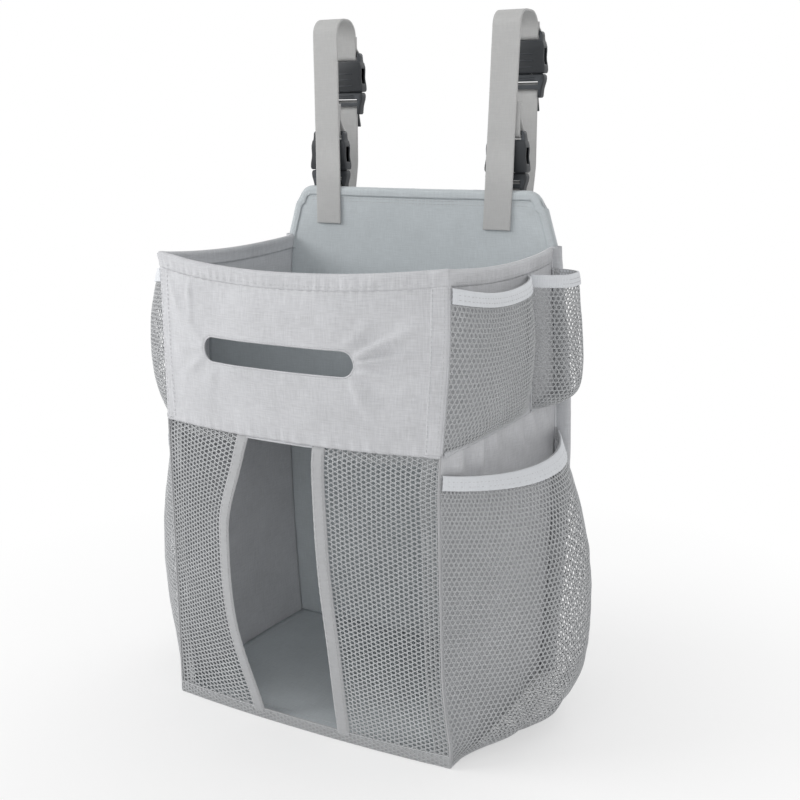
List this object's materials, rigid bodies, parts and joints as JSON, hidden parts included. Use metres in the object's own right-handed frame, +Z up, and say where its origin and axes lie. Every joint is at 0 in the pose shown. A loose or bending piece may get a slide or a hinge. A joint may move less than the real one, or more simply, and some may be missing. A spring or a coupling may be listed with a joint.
{
  "type": "bedside hanging organizer",
  "caption": "Soft fabric caddy that hangs from a rail by webbing loops with side-release buckles, with mesh side pockets and a slotted front over an open mesh bay.",
  "frame": {"origin": "centre of the footprint's box on the floor plane, at the lowest point of the base", "axes": "+X to the right as seen from the front, +Y to the back panel and the rail, +Z up"},
  "size_m": [0.38, 0.2568, 0.5578],
  "materials": {
    "shell_fabric": "fine woven light grey polyester, matt",
    "lining_fabric": "fine woven grey-green lining, matt",
    "stiffener_board": "plain sheet, hidden between plies",
    "mesh_net": "knitted hexagonal mesh, soft sheen",
    "binding_tape": "ribbed grosgrain tape, matt",
    "elastic_band": "ribbed woven elastic, soft sheen",
    "webbing": "polypropylene webbing, ribbed weave",
    "buckle_plastic": "moulded black acetal, satin"
  },
  "bodies": {
    "bag": {"back_panel_front_ply": "lining_fabric", "back_panel_board": "stiffener_board", "back_panel_rear_ply": "shell_fabric", "rear_binding_left": "binding_tape", "rear_binding_right": "binding_tape", "side_wall_left": "shell_fabric", "side_wall_right": "shell_fabric", "front_panel": "shell_fabric", "rim_hem": "shell_fabric", "wipes_pocket_liner": "lining_fabric", "shelf_lower_ply": "shell_fabric", "shelf_board": "stiffener_board", "shelf_upper_ply": "lining_fabric", "base_lower_ply": "shell_fabric", "base_board": "stiffener_board", "base_upper_ply": "lining_fabric", "front_net_left": "mesh_net", "front_net_right": "mesh_net", "opening_tape_left": "binding_tape", "opening_tape_right": "binding_tape", "base_front_band": "shell_fabric", "upper_front_right_pocket": "mesh_net", "upper_front_right_elastic": "elastic_band", "upper_rear_right_pocket": "mesh_net", "upper_rear_right_elastic": "elastic_band", "upper_front_left_pocket": "mesh_net", "upper_front_left_elastic": "elastic_band", "upper_rear_left_pocket": "mesh_net", "upper_rear_left_elastic": "elastic_band", "lower_left_pocket": "mesh_net", "lower_left_elastic": "elastic_band", "lower_right_pocket": "mesh_net", "lower_right_elastic": "elastic_band", "left_main_webbing": "webbing", "left_keeper_webbing": "webbing", "left_rear_webbing": "webbing", "left_anchor_webbing": "webbing", "left_upper_buckle_shell": "buckle_plastic", "left_lower_buckle_shell": "buckle_plastic", "right_main_webbing": "webbing", "right_keeper_webbing": "webbing", "right_rear_webbing": "webbing", "right_anchor_webbing": "webbing", "right_upper_buckle_shell": "buckle_plastic", "right_lower_buckle_shell": "buckle_plastic"},
    "left_upper_insert": {"left_upper_buckle_male": "buckle_plastic"},
    "left_lower_insert": {"left_lower_buckle_male": "buckle_plastic"},
    "right_upper_insert": {"right_upper_buckle_male": "buckle_plastic"},
    "right_lower_insert": {"right_lower_buckle_male": "buckle_plastic"}
  },
  "joints": [
    {"name": "left_upper_buckle_release", "type": "slide", "parent": "bag", "child": "left_upper_insert", "axis": [0, 0, -1], "range_m": [0, 0.028], "deforming": ["left_rear_webbing"]},
    {"name": "left_lower_buckle_release", "type": "slide", "parent": "bag", "child": "left_lower_insert", "axis": [0, 0, -1], "range_m": [0, 0.028], "deforming": ["left_anchor_webbing"]},
    {"name": "right_upper_buckle_release", "type": "slide", "parent": "bag", "child": "right_upper_insert", "axis": [0, 0, -1], "range_m": [0, 0.028], "deforming": ["right_rear_webbing"]},
    {"name": "right_lower_buckle_release", "type": "slide", "parent": "bag", "child": "right_lower_insert", "axis": [0, 0, -1], "range_m": [0, 0.028], "deforming": ["right_anchor_webbing"]}
  ]
}
